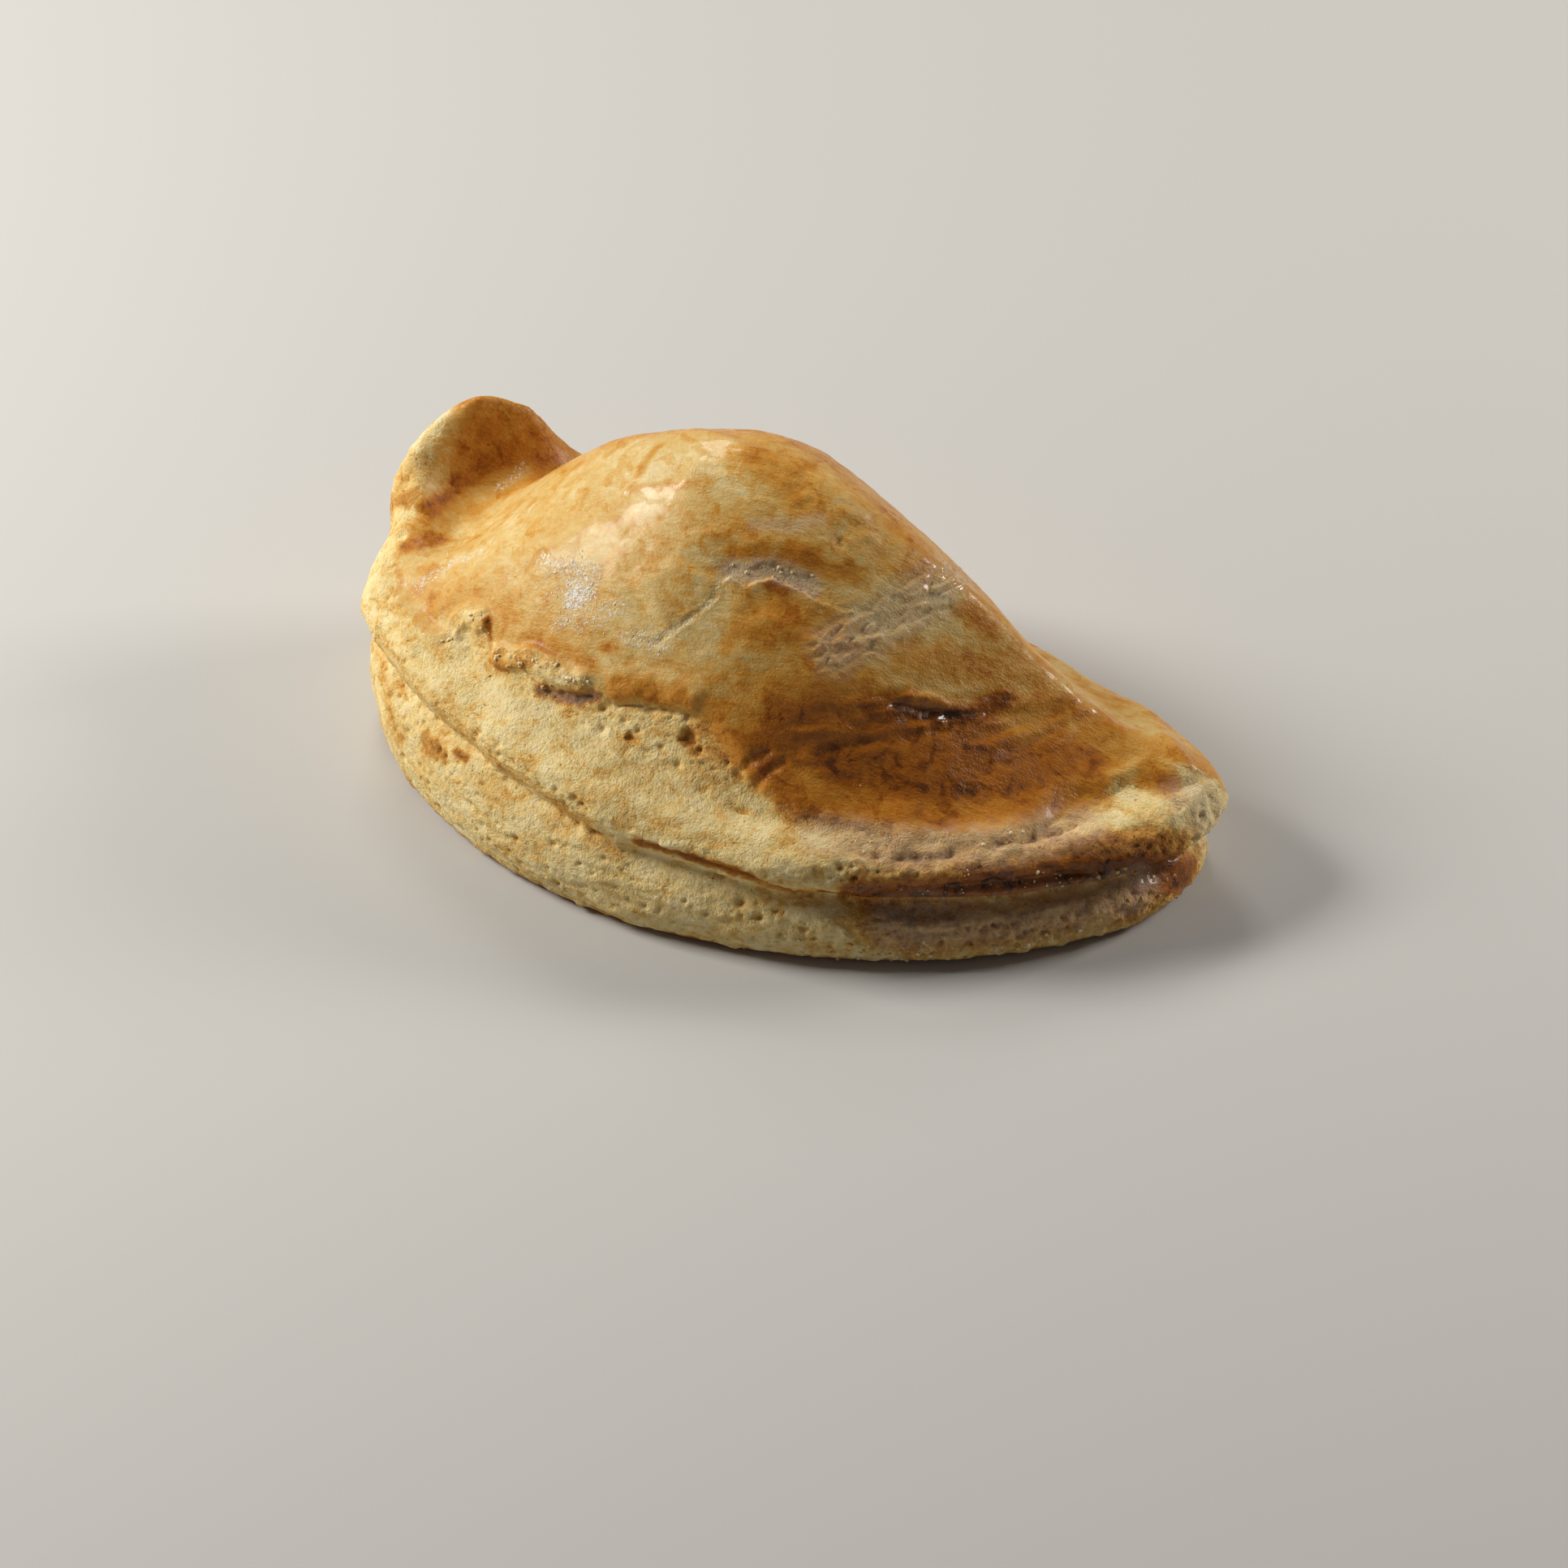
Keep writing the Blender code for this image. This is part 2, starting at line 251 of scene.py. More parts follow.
@dataclass(frozen=True)
class CrustFinish:
    """The baked crust: golden skin, pale crumb where it is torn or cut, glaze and flour."""

    name: str = "Baked crust"
    # Shades of the skin.
    clouds: Noise = Noise(8.0, 3.0, weight=0.42)
    mottling: Noise = Noise(2.4, 5.0, 0.66, 0.6, weight=0.72)
    streaks: Noise = Noise(1.5, 4.0, 0.6, weight=0.30)
    speckle: Noise = Noise(0.5, 4.0, 0.7, weight=0.42)
    skin_unevenness: float = 0.8
    evened_by_glaze: float = 0.2
    # Browner blotches on skin and crumb.
    blotches: Noise = Noise(3.4, 5.0, 0.62, 0.9)
    blotch_edge: tuple = (0.02, 0.13)
    blotch_shade: float = 0.15
    # Shades of the crumb; its pores and hollows are darkened as painted shade.
    flecks: Noise = Noise(0.6, 4.0, 0.72, weight=0.50)
    coarse_flecks: Noise = Noise(1.8, 3.0, 0.6, weight=0.40)
    patches: Noise = Noise(6.0, 4.0, 0.6, 0.8, weight=0.75)
    drawn_patches: Noise = Noise(2.0, 4.0, 0.65, weight=0.50)
    holes: Noise = Noise(0.8, 4.0, 0.72)
    hole_edge: tuple = (0.14, 0.20)
    pore_depth_and_painted_shade: float = 0.36
    painted_hollow_shade: float = 0.34
    # Where crumb takes over from skin, where ash grey and grey painted shade lie on it, and where flour and
    # painted white glints cover it.
    ragged: Noise = Noise(1.1, 4.0, 0.68, weight=1.3)
    bare_edge: tuple = (0.38, 0.62)
    ash_and_shade_strength: float = 0.8
    ash_and_shade_patches: Noise = Noise(1.0, 4.0, 0.7, weight=2.4)
    dust_and_glints: Noise = Noise(0.4, 4.0, 0.75, weight=2.2)
    dust_and_glint_edge: tuple = (0.46, 0.86)
    # Roughness and glaze.
    skin_roughness: float = 0.40
    glaze_roughness: float = 0.15
    crumb_roughness: float = 0.88
    dusted_roughness: float = 0.35
    uneven_roughness: Noise = Noise(1.0, 4.0, 0.65, weight=0.35)
    glaze_coat: float = 0.55
    coat_roughness: float = 0.12
    specular: float = 0.16
    # Fine relief, as shares of the bump's depth.
    bump_depth: float = 0.55 * MM
    bump_strength: float = 0.9
    pitting: Noise = Noise(0.7, 5.0, 0.72)
    skin_pitting: float = 0.16
    bare_pitting: float = 0.16
    cell_size: float = 0.8
    cell_depth: float = 0.22
    grit: Noise = Noise(0.3, 3.0, 0.6, weight=0.34)
    creases: Noise = Noise(1.0, 4.0, 0.62, weight=0.50)
    fine: Noise = Noise(0.3)
    fine_depth: float = 0.14
    fine_on_flour: float = 0.5
    fine_on_glaze: float = 0.08
    drawn_out: float = 0.22
    # Light that sinks into the dough.
    glow: float = 0.15
    glow_colour: tuple = (1.0, 0.45, 0.18)
    glow_reach: float = 1.2 * MM

    def build(self) -> bpy.types.Material:
        """Makes the material.

        Returns:
            The material, which reads the attributes for baking, crumb, glaze, flour, grey dough with painted
            shade, and the depth of hollows, which it darkens as painted shade.
        """
        mix = Recipe(self.name)
        bake = mix.painted("bake")
        glaze = mix.painted("glaze")
        blotches = mix.step(mix.grain(self.blotches), *self.blotch_edge) * self.blotch_shade
        # Pores are sunk in the bump, and darkened in colour as painted shade.
        holes = mix.step(mix.grain(self.holes), *self.hole_edge) * self.pore_depth_and_painted_shade
        bare = mix.step(mix.painted("crumb") + mix.grain(self.ragged), *self.bare_edge)
        # Flour dust, and on the wrinkles white specks that are partly painted glints.
        dusted_and_glinting = mix.step(mix.painted("flour") + mix.grain(self.dust_and_glints), *self.dust_and_glint_edge)
        gloss = glaze * (1 - bare) * (1 - dusted_and_glinting)
        clouds = mix.grain(self.clouds) + mix.grain(self.mottling)
        shades = clouds + mix.streak(self.streaks, self.drawn_out) + mix.grain(self.speckle)
        shades = shades * (self.skin_unevenness - self.evened_by_glaze * glaze)
        skin = mix.ramp(bake + blotches + shades, SKIN_RAMP)
        flecks = mix.grain(self.flecks) + mix.grain(self.coarse_flecks)
        patches = mix.grain(self.patches) + mix.streak(self.drawn_patches, self.drawn_out)
        # Painted shade: the crumb is darker where its mesh is dented.
        painted_shade_in_hollows = mix.painted("hollow") * self.painted_hollow_shade
        crumb = mix.ramp(bake + painted_shade_in_hollows + flecks + patches + holes + blotches, CRUMB_RAMP)
        ash_and_shade = mix.painted("ash_and_shade") * (self.ash_and_shade_strength + mix.grain(self.ash_and_shade_patches))
        colour = mix.mix(ash_and_shade.clamped(), mix.mix(bare, skin, crumb), ASH_GREY_AND_SHADE)
        rough = self.skin_roughness + (self.glaze_roughness - self.skin_roughness) * gloss
        rough = rough + (self.crumb_roughness - self.skin_roughness) * bare
        rough = rough + dusted_and_glinting * self.dusted_roughness + mix.grain(self.uneven_roughness)
        relief = mix.grain(self.pitting) * (self.skin_pitting + self.bare_pitting * bare)
        relief = relief - (holes + mix.cells(self.cell_size) * self.cell_depth - mix.grain(self.grit)) * bare
        relief = relief + mix.streak(self.creases, self.drawn_out) * (1 - bare)
        fine_depth = self.fine_depth + self.fine_on_flour * dusted_and_glinting + self.fine_on_glaze * glaze
        relief = relief + mix.grain(self.fine) * fine_depth
        sockets = {"Strength": self.bump_strength, "Distance": self.bump_depth, "Height": relief}
        return mix.finish(
            Base_Color=mix.mix(dusted_and_glinting, colour, FLOUR_AND_GLINT_WHITE),
            Roughness=rough.clamped(),
            Coat_Weight=(gloss * self.glaze_coat).clamped(),
            Coat_Roughness=self.coat_roughness,
            Normal=mix.node("ShaderNodeBump", {}, sockets),
            Specular_IOR_Level=self.specular,
            Subsurface_Weight=self.glow,
            Subsurface_Radius=self.glow_colour,
            Subsurface_Scale=self.glow_reach,
        )


@dataclass(frozen=True)
class BitFinish:
    """Loose bits: crumbs and flour grains, each a shade between two colours."""

    name: str
    low: tuple
    high: tuple
    roughness: float = 0.8
    shades: Noise = Noise(1.2, 3.0, 0.6)
    shade_edge: tuple = (-0.25, 0.25)
    grit: Noise = Noise(0.3, 3.0, 0.6)
    grit_strength: float = 0.6
    grit_depth: float = 0.1 * MM

    def build(self) -> bpy.types.Material:
        """Makes the material."""
        mix = Recipe(self.name)
        shade = mix.step(mix.grain(self.shades), *self.shade_edge)
        colour = mix.mix(shade, (*self.low, 1.0), (*self.high, 1.0))
        grit = mix.grain(self.grit)
        sockets = {"Strength": self.grit_strength, "Distance": self.grit_depth, "Height": grit}
        bump = mix.node("ShaderNodeBump", {}, sockets)
        return mix.finish(Base_Color=colour, Roughness=self.roughness, Normal=bump)


@dataclass(frozen=True)
class PhotoView:
    """The photograph's camera. The middle of the base is seen at the pixel aim."""

    azimuth: float = 18.0
    elevation: float = 42.0
    distance: float = 0.925
    lens: float = 100.0
    sensor: float = 24.0
    picture: int = 1932
    aim: tuple = (979.0, 960.0)
    target: tuple = (0.00107, 0.0004, 0.0)

    @property
    def axes(self) -> np.ndarray:
        """Rows that point right, up and back from the picture."""
        a, e = math.radians(self.azimuth), math.radians(self.elevation)
        back = np.array([math.sin(a) * math.cos(e), -math.cos(a) * math.cos(e), math.sin(e)])
        right = np.array([math.cos(a), math.sin(a), 0.0])
        return np.array([right, np.cross(back, right), back])

    @property
    def focal_pixels(self) -> float:
        """The focal length in pixels of the photograph."""
        return self.picture * self.lens / self.sensor

    @property
    def eye(self) -> np.ndarray:
        """Where the camera stands, in metres."""
        return np.array(self.target) + self.axes[2] * self.distance

    def ray(self, pixel: tuple) -> Vector:
        """The direction from the eye through a pixel."""
        right, up, back = self.axes
        across = (pixel[0] - self.aim[0]) / self.focal_pixels
        above = (self.aim[1] - pixel[1]) / self.focal_pixels
        return Vector(right * across + up * above - back).normalized()

    def pixels(self, points: np.ndarray) -> np.ndarray:
        """Where points, in metres, are seen in the photograph."""
        seen = (points - self.eye) @ self.axes.T
        flat = seen[:, :2] / -seen[:, 2:] * self.focal_pixels
        return np.array(self.aim) + flat * (1, -1)

    def set_up(self) -> None:
        """Adds the camera to the scene."""
        camera = add("Camera", bpy.data.cameras.new("Camera"))
        camera.data.lens = self.lens
        camera.data.sensor_width = self.sensor
        camera.data.shift_x = (self.picture / 2 - self.aim[0]) / self.picture
        camera.data.shift_y = (self.aim[1] - self.picture / 2) / self.picture
        camera.location = self.eye
        camera.rotation_mode = "QUATERNION"
        camera.rotation_quaternion = Matrix(self.axes.T.tolist()).to_quaternion()
        bpy.context.scene.camera = camera


VIEW = PhotoView()


@dataclass(frozen=True)
class Lumps:
    """One scale of smooth noise on the crust: the size of its lumps, their height and its seed."""

    size: float
    height: float
    seed: int


def noisy(places: np.ndarray, scales: tuple) -> np.ndarray:
    """Smooth noise at places in millimetres, with all its scales added up."""
    total = np.zeros(len(places))
    for scale in scales:
        shifted = places / scale.size + SEED_SHIFT * scale.seed
        total += scale.height * np.array([noise.noise(row) for row in shifted.tolist()])
    return total


def smooth(value: np.ndarray, low: float, high: float) -> np.ndarray:
    """0 up to low, 1 from high on, and a smooth rise between."""
    t = np.clip((value - low) / (high - low), 0, 1)
    return t * t * (3 - 2 * t)


def bell(distance: np.ndarray, reach: float) -> np.ndarray:
    """1 at distance 0, falling off over the reach."""
    return np.exp(-((distance / reach) ** 2))


def tapered(along: np.ndarray, start: float, end: float) -> np.ndarray:
    """1 along a line, but falling to 0 over a share of its length at the start and at the end."""
    return smooth(along, 0, start) * smooth(1 - along, 0, end)


class Skinscape:
    """The crust's points, and where each of them lies: in space, in the photograph and along marks."""

    def __init__(self, mesh: bpy.types.Mesh) -> None:
        """Reads the points and normals of a mesh in metres."""
        count = len(mesh.vertices)
        flat = np.empty(count * 3)
        mesh.vertices.foreach_get("co", flat)
        self.points = flat.reshape(-1, 3) / MM
        flat = np.empty(count * 3)
        mesh.vertices.foreach_get("normal", flat)
        self.normals = flat.reshape(-1, 3).copy()
        self.pixels = VIEW.pixels(self.points * MM)
        polygons = [tuple(face.vertices) for face in mesh.polygons]
        self.tree = BVHTree.FromPolygons((self.points * MM).tolist(), polygons)

    def cast(self, pixel: tuple) -> tuple[np.ndarray, np.ndarray]:
        """The place and normal on the crust that a pixel shows, in millimetres."""
        eye = Vector(VIEW.eye)
        ray = VIEW.ray(pixel)
        place, normal, _, _ = self.tree.ray_cast(eye, ray)
        if place is None:
            near = eye + ray * (Vector(VIEW.target) - eye).dot(ray)
            place, normal, _, _ = self.tree.find_nearest(near)
        return np.array(place) / MM, np.array(normal)

    def line(self, marks: tuple) -> np.ndarray:
        """The marks as places: two numbers are a pixel, three are millimetres."""
        return np.array([np.array(mark, float) if len(mark) == 3 else self.cast(mark)[0] for mark in marks])

    def beside(self, marks: tuple) -> tuple[np.ndarray, np.ndarray]:
        """Distance of each point from a line of marks, and how far along it, from 0 to 1."""
        line = self.line(marks)
        if len(line) == 1:
            return np.linalg.norm(self.points - line[0], axis=1), np.zeros(len(self.points))
        best = np.full(len(self.points), np.inf)
        along = np.zeros(len(self.points))
        for number, (start, end) in enumerate(zip(line, line[1:])):
            run = end - start
            share = np.clip((self.points - start) @ run / max(run @ run, TINY), 0, 1)
            far = np.linalg.norm(self.points - start - share[:, None] * run, axis=1)
            along = np.where(far < best, (number + share) / (len(line) - 1), along)
            best = np.minimum(far, best)
        return best, along

    def below(self, marks: tuple) -> np.ndarray:
        """1 for points seen below a line of pixels that runs to the right, -1 for those above."""
        flat = np.array(marks, float)
        best = np.full(len(self.pixels), np.inf)
        side = np.zeros(len(self.pixels))
        for start, end in zip(flat, flat[1:]):
            run = end - start
            off = self.pixels - start
            share = np.clip(off @ run / (run @ run), 0, 1)
            far = np.hypot(*(off - share[:, None] * run).T)
            turn = np.sign(run[0] * off[:, 1] - run[1] * off[:, 0])
            side = np.where(far < best, turn, side)
            best = np.minimum(far, best)
        return side

    def inside(self, outline: np.ndarray) -> np.ndarray:
        """True for points that lie inside an outline in plan."""
        x, y = self.points[:, 0], self.points[:, 1]
        hit = np.zeros(len(x), bool)
        for (ax, ay), (bx, by) in zip(outline, np.roll(outline, -1, axis=0)):
            crosses = (ay > y) != (by > y)
            level = (bx - ax) * (y - ay) / (by - ay + TINY) + ax
            hit ^= crosses & (x < level)
        return hit

    @property
    def under(self) -> np.ndarray:
        """1 on the underside, 0 on the sides and the top."""
        return smooth(-self.normals[:, 2], *UNDERSIDE)


# The torn edge of the golden skin, round the front by pixels from the corner to the tip.
TEAR = (
    (555, 507), (545, 530), (530, 570), (520, 600), (508, 640), (497, 672), (490, 700), (492, 740),
    (505, 765), (522, 785), (545, 800), (563, 778), (575, 757), (595, 752), (604, 768), (607, 788),
    (625, 806), (655, 812), (685, 826), (712, 840), (735, 852), (760, 868), (800, 872), (840, 880),
    (870, 888), (895, 925), (920, 965), (985, 1004), (1040, 1014), (1100, 1020), (1160, 1026),
    (1215, 1030), (1270, 1018), (1330, 1000), (1360, 985), (1372, 965), (1400, 955), (1450, 945),
    (1500, 962),
)
# The same edge round the back, where the skin runs over the fold and down its side, in plan.
TEAR_BEHIND = (
    (66.0, 6.0), (60.0, 16.0), (45.0, 24.0), (20.0, 36.0), (-5.0, 44.0), (-30.0, 44.0), (-46.0, 40.0),
    (-56.0, 28.0),
)
# Marks on the dome.
CRACK_LINE = ((785, 787), (807, 793), (823, 782), (834, 774), (850, 761), (871, 747), (879, 739), (887, 720))
CREVICE_LIP = (
    (887, 718), (900, 710), (919, 723), (930, 718), (951, 712), (967, 720), (989, 728), (1003, 738),
    (1022, 746), (1045, 756),
)
CREVICE_FLOOR = ((898, 702), (925, 706), (950, 700), (975, 710), (1000, 722))
WRINKLES = ((1030, 800), (1090, 765), (1150, 730), (1185, 705))
SCRATCH = ((516, 722), (540, 705), (562, 689), (593, 679))
DOME_FOLDS = ((850, 560), (920, 560), (1000, 590), (1070, 640))
# Marks along the tear at the front left.
UPRIGHT_FLAKE = ((553, 792), (562, 768), (576, 756), (592, 760), (597, 782))
CRUMBLY_RIDGE = ((604, 800), (625, 812), (650, 808), (680, 822), (705, 838), (733, 842))
CAVITY = ((664, 850), (690, 858), (714, 861), (735, 858))
ROLLED_LIP = ((745, 845), (784, 840), (830, 850), (868, 868))
UNDER_LIP = ((738, 866), (784, 870), (830, 876), (866, 886))
# Marks on the glazed end.
CREASE = ((1082, 872), (1105, 862), (1128, 872), (1155, 880), (1185, 884), (1215, 872), (1240, 860))
GLAZE_FOLDS = ((1000, 905), (1080, 895), (1160, 880), (1240, 885))
GLAZED_EDGE = ((980, 985), (1040, 1000), (1120, 1008), (1200, 1010), (1280, 998), (1345, 980))
TIP_FOLDS = ((1200, 930), (1270, 905), (1340, 880))
# Marks on the cut side.
ORANGE_SEAM = ((786, 1038), (830, 1052), (864, 1062), (920, 1080), (975, 1098), (1060, 1104))
DARK_SEAM = ((1060, 1103), (1134, 1102), (1200, 1096), (1260, 1090), (1330, 1080), (1400, 1073), (1460, 1076))
LEFT_VALLEY = (
    (470, 792), (496, 830), (530, 866), (558, 892), (610, 935), (651, 967), (714, 1010), (770, 1045),
)

# Marks whose surroundings get a finer mesh.
FINE_MARKS = (
    CRACK_LINE, CREVICE_LIP, CREVICE_FLOOR, SCRATCH, UPRIGHT_FLAKE, CRUMBLY_RIDGE, CAVITY, ROLLED_LIP,
    UNDER_LIP, CREASE,
)
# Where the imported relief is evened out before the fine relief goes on: how far out, and how many rounds.
EVENED = (
    (CRACK_LINE, 7.0, 120),
    (CREVICE_LIP, 5.0, 60),
    (UPRIGHT_FLAKE, 3.5, 40),
    (CRUMBLY_RIDGE, 3.5, 40),
    (LEFT_VALLEY, 2.6, 50),
)
# Along the torn edge, by share of its length: how wide the change from skin to crumb is on each side.
TEAR_SOFTNESS = ((0, 0.5), (0.55, 0.4), (0.68, 2.6), (0.9, 2.2), (1, 1.0))
# The same for how far the skin stands over the bare dough, or below 0, how far it lies under the flakes.
TEAR_STEP = (
    (0, 0.15), (0.24, 0.15), (0.28, -0.30), (0.48, -0.30), (0.51, 0.5), (0.57, 0.5), (0.62, 0.12), (1, 0.12),
)

# Noise that the crust is painted and shaped with.
RAGGED_EDGE = (Lumps(2.2, 0.8, 1), Lumps(0.9, 0.5, 2))
BROAD_SHADES = (Lumps(14.0, 1.0, 3), Lumps(6.0, 0.6, 4))
DOUGH_LAYERS = (Lumps(1.0, 1.0, 5),)
FINE_LAYERS = (Lumps(1.0, 0.6, 6),)
CRUMB_GRAIN = (Lumps(1.6, 1.0, 7), Lumps(0.75, 0.7, 8))
SKIN_GRAIN = (Lumps(3.0, 0.14, 9), Lumps(1.2, 0.07, 10))
FOOT_BEADS = (Lumps(1.5, 0.5, 11),)
RIDGE_LUMPS = (Lumps(1.8, 0.8, 13), Lumps(0.9, 0.3, 14))
WRINKLE_WARP = (Lumps(3.0, 0.5, 16),)


class Paint(Enum):
    """What a dab of paint changes."""

    # Baking brown; some dabs of it are painted shade, shadow and highlight.
    BAKE = "bake"
    GLAZE = "glaze"
    CRUMB = "crumb"
    FLOUR = "flour"
    ASH_AND_SHADE = "ash_and_shade"


@dataclass(frozen=True)
class Dab:
    """A mark along a line of pixels: the value it brings, and its half width."""

    value: float
    reach: float
    marks: tuple
    wander: float = 0.42
    widest_wander: float = 2.5
    full: float = 0.3
    gone: float = 1.3

    def share(self, land: Skinscape, ragged: np.ndarray) -> np.ndarray:
        """How much of the dab's value each point takes, from 0 to 1, with a ragged edge."""
        far, _ = land.beside(self.marks)
        far = far + self.wander * min(self.reach, self.widest_wander) * ragged
        return 1 - smooth(far, self.full * self.reach, self.gone * self.reach)


# How brown each place bakes, with a few dabs that are painted shade, shadow and highlight.
BAKE_AND_PAINTED_LIGHT_DABS = (
    # The dome: a cream middle, orange at the lower left and along the valley behind, and a painted highlight
    # across the top.
    Dab(0.25, 5.5, ((530, 740), (600, 735), (640, 770), (700, 795))),
    Dab(0.31, 2.5, ((520, 710), (545, 745), (590, 742))),
    Dab(0.19, 8.0, ((690, 655), (760, 665))),
    Dab(0.16, 7.0, ((850, 640), (860, 700))),
    Dab(0.38, 2.6, ((522, 650), (560, 630), (620, 605), (670, 585), (715, 568))),
    Dab(0.30, 2.5, ((711, 566), (760, 545), (820, 526))),
    # Painted highlight: paler skin where the sheen lies on top of the dome.
    Dab(0.08, 5.0, ((775, 575), (830, 565), (900, 575))),
    Dab(0.48, 1.8, ((830, 524), (900, 520), (970, 530))),
    Dab(0.38, 0.8, ((788, 584), (798, 564), (812, 549))),
    Dab(0.30, 0.8, ((780, 602), (830, 600), (874, 592))),
    Dab(0.47, 4.6, ((940, 562), (980, 590), (1005, 620))),
    Dab(0.30, 4.0, ((1020, 600), (1070, 650), (1115, 700))),
    Dab(0.44, 1.6, ((1040, 580), (1110, 650), (1170, 710), (1210, 745))),
    Dab(0.36, 3.5, ((1215, 760), (1290, 815), (1370, 862))),
    Dab(0.44, 2.6, ((1105, 650), (1150, 700))),
    Dab(0.52, 1.8, ((1188, 752), (1219, 775))),
    Dab(0.42, 3.2, ((1120, 812), (1200, 818), (1280, 832))),
    # Round the crevice.
    Dab(0.26, 4.5, ((900, 650), (960, 655), (1030, 680))),
    Dab(0.45, 1.4, ((903, 680), (940, 681))),
    Dab(0.58, 2.1, ((975, 680), (1000, 690))),
    Dab(0.46, 1.8, ((1020, 705), (1048, 706))),
    Dab(0.46, 5.0, ((930, 765), (975, 770), (1012, 780))),
    Dab(0.60, 1.3, ((950, 722), (965, 728))),
    Dab(0.14, 2.6, ((840, 785), (868, 770), (885, 745))),
    Dab(0.42, 1.1, ((895, 790), (893, 800))),
    Dab(0.46, 0.8, ((876, 819),)),
    Dab(0.24, 4.0, ((850, 830), (890, 850))),
    Dab(0.36, 4.5, ((930, 850), (990, 835), (1050, 835))),
    # The brown glazed end.
    Dab(0.50, 4.0, ((880, 895), (920, 930), (960, 960))),
    Dab(0.70, 7.5, ((975, 905), (1040, 900), (1120, 915), (1220, 920), (1320, 930))),
    Dab(0.74, 5.0, ((1040, 950), (1120, 960), (1210, 965), (1270, 955))),
    Dab(0.50, 4.0, ((1255, 885), (1310, 880), (1370, 900))),
    Dab(0.58, 3.6, GLAZED_EDGE),
    Dab(0.76, 1.8, CREASE),
    Dab(0.92, 0.8, ((1105, 874), (1150, 880), (1200, 880))),
    Dab(0.55, 0.9, ((1130, 862), (1160, 868))),
    Dab(0.42, 3.2, ((1380, 930), (1440, 920), (1490, 945))),
    Dab(0.55, 2.6, ((1415, 955), (1440, 965))),
    # The turned-up corner.
    Dab(0.56, 6.0, ((625, 515), (600, 555), (645, 545), (690, 562))),
    Dab(0.64, 1.7, ((618, 567), (583, 585), (550, 612), (527, 630))),
    Dab(0.50, 3.4, ((590, 495), (635, 510), (680, 545))),
    Dab(0.30, 1.3, ((575, 617), (620, 600), (650, 580))),
    Dab(0.62, 1.7, ((500, 674), (522, 668), (545, 664))),
    Dab(0.44, 1.7, ((481, 585), (482, 625))),
    Dab(0.50, 1.2, ((560, 500), (590, 488), (618, 486))),
    # Along the tear at the front left.
    Dab(0.42, 1.5, ((640, 790), (690, 802), (728, 820))),
    Dab(0.54, 1.0, ((743, 797), (750, 800))),
    Dab(0.18, 1.8, UPRIGHT_FLAKE),
    # Painted shadow: a dark red-brown line on the skin at the right edge of the upright flake.
    Dab(0.68, 0.5, ((602, 764), (604, 792))),
    Dab(0.16, 1.6, CRUMBLY_RIDGE),
    Dab(0.36, 1.6, ((608, 806), (630, 814), (652, 812))),
    Dab(0.50, 1.0, ((615, 822), (626, 820))),
    Dab(0.34, 1.1, ((538, 802), (546, 812))),
    # The cavity under the crumbly ridge: browner, partly its own colour and partly painted shade.
    Dab(0.60, 1.1, CAVITY),
    Dab(0.44, 1.7, ((845, 910), (858, 922))),
    Dab(0.32, 1.0, ((772, 911), (783, 910))),
    Dab(0.48, 2.2, ((762, 848), (800, 850), (836, 858))),
    Dab(0.40, 1.6, ((850, 862), (872, 874))),
    # The cut side.
    Dab(0.48, 1.9, ((525, 918), (542, 926))),
    Dab(0.72, 0.7, ((562, 926), (575, 936))),
    Dab(0.30, 2.2, ((468, 800), (476, 860), (490, 910))),
    Dab(0.24, 2.0, LEFT_VALLEY),
    Dab(0.22, 3.0, ((700, 945), (752, 985))),
    Dab(0.32, 1.8, ((500, 960), (560, 1040), (640, 1092), (760, 1130))),
    Dab(0.66, 1.2, ORANGE_SEAM),
    # Partly painted shade: browner crumb on the right of the cut side, where it lies in shade.
    Dab(0.42, 3.8, ((1060, 1036), (1120, 1048), (1220, 1046), (1300, 1035))),
    Dab(0.62, 2.8, ((1335, 1048), (1400, 1040), (1450, 1045))),
    # Partly painted shade: browner crumb low on the right of the cut side.
    Dab(0.50, 4.0, ((1080, 1145), (1250, 1140), (1400, 1108))),
    Dab(0.55, 0.9, ((1192, 1075),)),
    Dab(0.84, 3.8, DARK_SEAM),
)
GLAZE_DABS = (
    Dab(0.95, 9.0, ((990, 905), (1080, 890), (1200, 890), (1300, 900), (1400, 930))),
    Dab(0.90, 6.0, ((1040, 970), (1150, 970), (1260, 960), (1360, 955))),
    Dab(0.55, 8.0, ((760, 590), (830, 565), (900, 560))),
    Dab(0.85, 5.0, ((1000, 720), (1060, 760), (1120, 750), (1175, 715))),
    Dab(0.5, 3.2, DARK_SEAM),
    Dab(0.5, 1.2, ROLLED_LIP),
)
# Where dough is bare, and where skin or a glazed seam hides it.
CRUMB_DABS = (
    Dab(0.50, 1.0, CRACK_LINE),
    Dab(0.50, 1.7, CREVICE_FLOOR),
    Dab(0.58, 1.8, UPRIGHT_FLAKE),
    Dab(0.58, 1.6, CRUMBLY_RIDGE),
    Dab(0.0, 2.2, ROLLED_LIP),
    Dab(0.0, 3.6, DARK_SEAM),
    Dab(0.0, 1.1, ORANGE_SEAM),
    Dab(0.0, 2.4, ((1400, 950), (1440, 962))),
    # Skin under the painted shadow line at the right edge of the upright flake.
    Dab(0.0, 0.6, ((602, 764), (604, 792))),
)
